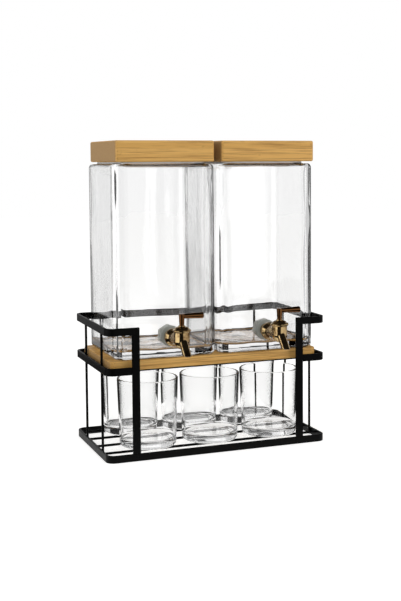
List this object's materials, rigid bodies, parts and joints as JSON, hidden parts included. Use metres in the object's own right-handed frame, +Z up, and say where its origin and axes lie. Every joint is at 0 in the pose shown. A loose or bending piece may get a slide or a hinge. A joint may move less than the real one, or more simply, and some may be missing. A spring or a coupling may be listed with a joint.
{
  "type": "drink dispenser",
  "caption": "Square glass drink jars with bamboo lids and antique brass lever taps, on a bamboo board in a black flat-bar stand with glass tumblers stored below.",
  "frame": {"origin": "middle of the stand's footprint, on the surface that it stands on", "axes": "+X to the right along the front, +Y to the back, +Z up; the taps point to -Y"},
  "size_m": [0.3, 0.2249, 0.4021],
  "materials": {
    "rack_bar": "satin black powder coat on flat steel bar",
    "rack_wire": "satin black powder coat on steel wire",
    "bamboo_board": "oiled laminated bamboo, fine lengthwise strips",
    "bamboo_lid": "oiled laminated bamboo, fine lengthwise strips",
    "bamboo_plug": "plain sanded bamboo",
    "clear_silicone": "translucent white silicone",
    "grey_silicone": "translucent grey silicone",
    "nut_plastic": "moulded grey nylon",
    "white_ptfe": "waxy white PTFE",
    "black_rubber": "soft nitrile rubber",
    "jar_glass": "clear pressed soda-lime glass, slightly wavy",
    "tumbler_glass": "clear pressed soda-lime glass",
    "antique_brass": "antiqued brass plate, polished, dark in the recesses",
    "antique_copper_brass": "antiqued brass plate with a coppery tone"
  },
  "bodies": {
    "stand": {"base_ring": "rack_bar", "shelf_ring": "rack_bar", "guard_rail": "rack_bar", "front_post_left": "rack_bar", "front_post_right": "rack_bar", "side_wires_left": "rack_wire", "side_wires_right": "rack_wire", "back_wires": "rack_wire", "base_wires": "rack_wire", "shelf_wires": "rack_wire"},
    "board": {"shelf_board": "bamboo_board"},
    "jar_set_left": {"jar_left": "jar_glass", "tap_body_left": "antique_brass", "tap_spout_left": "antique_brass", "tap_escutcheon_left": "antique_brass", "tap_outer_washer_left": "grey_silicone", "tap_inner_washer_left": "grey_silicone", "tap_lock_nut_left": "nut_plastic", "tap_bonnet_left": "antique_brass"},
    "lid_set_left": {"lid_left": "bamboo_lid", "lid_plug_left": "bamboo_plug", "lid_seal_left": "clear_silicone"},
    "tap_handle_left": {"tap_stem_left": "antique_copper_brass", "tap_lever_left": "antique_copper_brass", "tap_plug_left": "antique_brass", "tap_thrust_washer_left": "white_ptfe", "tap_seals_left": "black_rubber"},
    "jar_set_right": {"jar_right": "jar_glass", "tap_body_right": "antique_brass", "tap_spout_right": "antique_brass", "tap_escutcheon_right": "antique_brass", "tap_outer_washer_right": "grey_silicone", "tap_inner_washer_right": "grey_silicone", "tap_lock_nut_right": "nut_plastic", "tap_bonnet_right": "antique_brass"},
    "lid_set_right": {"lid_right": "bamboo_lid", "lid_plug_right": "bamboo_plug", "lid_seal_right": "clear_silicone"},
    "tap_handle_right": {"tap_stem_right": "antique_copper_brass", "tap_lever_right": "antique_copper_brass", "tap_plug_right": "antique_brass", "tap_thrust_washer_right": "white_ptfe", "tap_seals_right": "black_rubber"},
    "tumbler_front_left_glass": {"tumbler_front_left": "tumbler_glass"},
    "tumbler_front_middle_glass": {"tumbler_front_middle": "tumbler_glass"},
    "tumbler_front_right_glass": {"tumbler_front_right": "tumbler_glass"},
    "tumbler_rear_left_glass": {"tumbler_rear_left": "tumbler_glass"},
    "tumbler_rear_middle_glass": {"tumbler_rear_middle": "tumbler_glass"},
    "tumbler_rear_right_glass": {"tumbler_rear_right": "tumbler_glass"}
  },
  "joints": [
    {"name": "board_lift", "type": "slide", "parent": "stand", "child": "board", "axis": [0, 0, 1], "range_m": [0, 0.06]},
    {"name": "jar_lift_left", "type": "slide", "parent": "board", "child": "jar_set_left", "axis": [0, 0, 1], "range_m": [0, 0.06]},
    {"name": "lid_lift_left", "type": "slide", "parent": "jar_set_left", "child": "lid_set_left", "axis": [0, 0, 1], "range_m": [0, 0.04]},
    {"name": "tap_turn_left", "type": "hinge", "parent": "jar_set_left", "child": "tap_handle_left", "pos_m": [-0.0625, -0.1151, 0.154], "axis": [0, 0, 1], "range_deg": [-90, 0]},
    {"name": "jar_lift_right", "type": "slide", "parent": "board", "child": "jar_set_right", "axis": [0, 0, 1], "range_m": [0, 0.06]},
    {"name": "lid_lift_right", "type": "slide", "parent": "jar_set_right", "child": "lid_set_right", "axis": [0, 0, 1], "range_m": [0, 0.04]},
    {"name": "tap_turn_right", "type": "hinge", "parent": "jar_set_right", "child": "tap_handle_right", "pos_m": [0.069, -0.1151, 0.154], "axis": [0, 0, 1], "range_deg": [-90, 0]},
    {"name": "tumbler_lift_front_left", "type": "slide", "parent": "stand", "child": "tumbler_front_left_glass", "axis": [0, 0, 1], "range_m": [0, 0.0115]},
    {"name": "tumbler_slide_front_middle", "type": "slide", "parent": "stand", "child": "tumbler_front_middle_glass", "axis": [0, -1, 0], "range_m": [0, 0.12]},
    {"name": "tumbler_lift_front_right", "type": "slide", "parent": "stand", "child": "tumbler_front_right_glass", "axis": [0, 0, 1], "range_m": [0, 0.0115]},
    {"name": "tumbler_lift_rear_left", "type": "slide", "parent": "stand", "child": "tumbler_rear_left_glass", "axis": [0, 0, 1], "range_m": [0, 0.0115]},
    {"name": "tumbler_slide_rear_middle", "type": "slide", "parent": "stand", "child": "tumbler_rear_middle_glass", "axis": [0, 1, 0], "range_m": [0, 0.12]},
    {"name": "tumbler_lift_rear_right", "type": "slide", "parent": "stand", "child": "tumbler_rear_right_glass", "axis": [0, 0, 1], "range_m": [0, 0.0115]}
  ]
}
